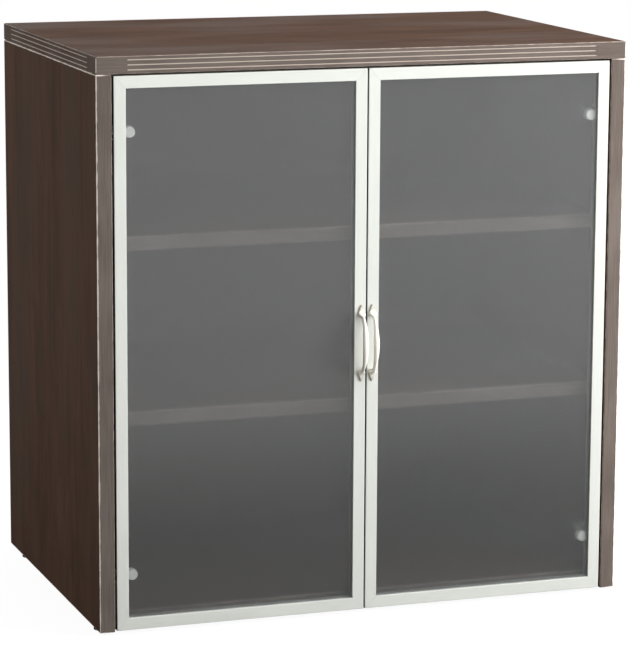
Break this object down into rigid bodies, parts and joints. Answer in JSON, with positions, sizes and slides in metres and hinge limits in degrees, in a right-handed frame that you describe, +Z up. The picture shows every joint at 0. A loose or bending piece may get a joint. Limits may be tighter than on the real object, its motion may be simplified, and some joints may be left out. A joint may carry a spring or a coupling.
{
  "type": "glass door bookcase",
  "caption": "Free-standing bookcase in dark laminate with a pair of aluminium-framed frosted glass doors, bow handles, pin-held shelves and levelling glides.",
  "frame": {"origin": "on the floor, under the centre of the overall box from the handles to the back edge", "axes": "+X to the right as seen from the front, the doors face -Y, +Z up"},
  "size_m": [0.9144, 0.638, 0.946],
  "materials": {
    "dark_laminate": "satin dark brown wood-grain laminate on board, lighter core in the grooves",
    "back_board": "matt dark brown hardboard",
    "door_aluminium": "satin anodised, silver-white",
    "frosted_glass": "frosted, neutral grey",
    "glazing_seal": "matt light grey",
    "handle_nickel": "satin nickel, slightly warm",
    "hinge_nickel": "nickel plated",
    "zinc_steel": "bright zinc plate",
    "black_plastic": "matt black moulded"
  },
  "bodies": {
    "case": {"top_panel": "dark_laminate", "left_side_panel": "dark_laminate", "right_side_panel": "dark_laminate", "bottom_panel": "dark_laminate", "back_panel": "back_board", "upper_shelf": "dark_laminate", "lower_shelf": "dark_laminate", "magnetic_catch": "black_plastic", "upper_shelf_pin_left_front": "zinc_steel", "upper_shelf_pin_left_rear": "zinc_steel", "upper_shelf_pin_right_front": "zinc_steel", "upper_shelf_pin_right_rear": "zinc_steel", "lower_shelf_pin_left_front": "zinc_steel", "lower_shelf_pin_left_rear": "zinc_steel", "lower_shelf_pin_right_front": "zinc_steel", "lower_shelf_pin_right_rear": "zinc_steel", "glide_insert_left_front": "zinc_steel", "glide_insert_left_rear": "zinc_steel", "glide_insert_right_front": "zinc_steel", "glide_insert_right_rear": "zinc_steel", "left_upper_hinge_arm": "hinge_nickel", "left_upper_hinge_mounting_plate": "hinge_nickel", "left_lower_hinge_arm": "hinge_nickel", "left_lower_hinge_mounting_plate": "hinge_nickel", "right_upper_hinge_arm": "hinge_nickel", "right_upper_hinge_mounting_plate": "hinge_nickel", "right_lower_hinge_arm": "hinge_nickel", "right_lower_hinge_mounting_plate": "hinge_nickel"},
    "left_door": {"left_door_hinge_stile": "door_aluminium", "left_door_meeting_stile": "door_aluminium", "left_door_top_rail": "door_aluminium", "left_door_bottom_rail": "door_aluminium", "left_door_gasket": "glazing_seal", "left_door_glass": "frosted_glass", "left_door_handle": "handle_nickel", "left_door_strike_plate": "zinc_steel", "left_handle_screw_upper": "zinc_steel", "left_handle_screw_lower": "zinc_steel", "left_upper_hinge_cup": "hinge_nickel", "left_upper_hinge_pin": "hinge_nickel", "left_lower_hinge_cup": "hinge_nickel", "left_lower_hinge_pin": "hinge_nickel"},
    "right_door": {"right_door_hinge_stile": "door_aluminium", "right_door_meeting_stile": "door_aluminium", "right_door_top_rail": "door_aluminium", "right_door_bottom_rail": "door_aluminium", "right_door_gasket": "glazing_seal", "right_door_glass": "frosted_glass", "right_door_handle": "handle_nickel", "right_door_strike_plate": "zinc_steel", "right_handle_screw_upper": "zinc_steel", "right_handle_screw_lower": "zinc_steel", "right_upper_hinge_cup": "hinge_nickel", "right_upper_hinge_pin": "hinge_nickel", "right_lower_hinge_cup": "hinge_nickel", "right_lower_hinge_pin": "hinge_nickel"},
    "glide_left_front": {"levelling_glide_left_front": "black_plastic"},
    "glide_left_rear": {"levelling_glide_left_rear": "black_plastic"},
    "glide_right_front": {"levelling_glide_right_front": "black_plastic"},
    "glide_right_rear": {"levelling_glide_right_rear": "black_plastic"}
  },
  "joints": [
    {"name": "left_door_hinge", "type": "hinge", "parent": "case", "child": "left_door", "pos_m": [-0.4177, -0.283, 0.4612], "axis": [0, 0, -1], "range_deg": [0, 100]},
    {"name": "right_door_hinge", "type": "hinge", "parent": "case", "child": "right_door", "pos_m": [0.4177, -0.283, 0.4612], "axis": [0, 0, 1], "range_deg": [0, 100]},
    {"name": "glide_left_front_screw", "type": "hinge", "parent": "case", "child": "glide_left_front", "pos_m": [-0.4442, -0.244, 0], "axis": [0, 0, -1], "range_deg": [0, 2880]},
    {"name": "glide_left_rear_screw", "type": "hinge", "parent": "case", "child": "glide_left_rear", "pos_m": [-0.4442, 0.239, 0], "axis": [0, 0, -1], "range_deg": [0, 2880]},
    {"name": "glide_right_front_screw", "type": "hinge", "parent": "case", "child": "glide_right_front", "pos_m": [0.4442, -0.244, 0], "axis": [0, 0, -1], "range_deg": [0, 2880]},
    {"name": "glide_right_rear_screw", "type": "hinge", "parent": "case", "child": "glide_right_rear", "pos_m": [0.4442, 0.239, 0], "axis": [0, 0, -1], "range_deg": [0, 2880]}
  ]
}
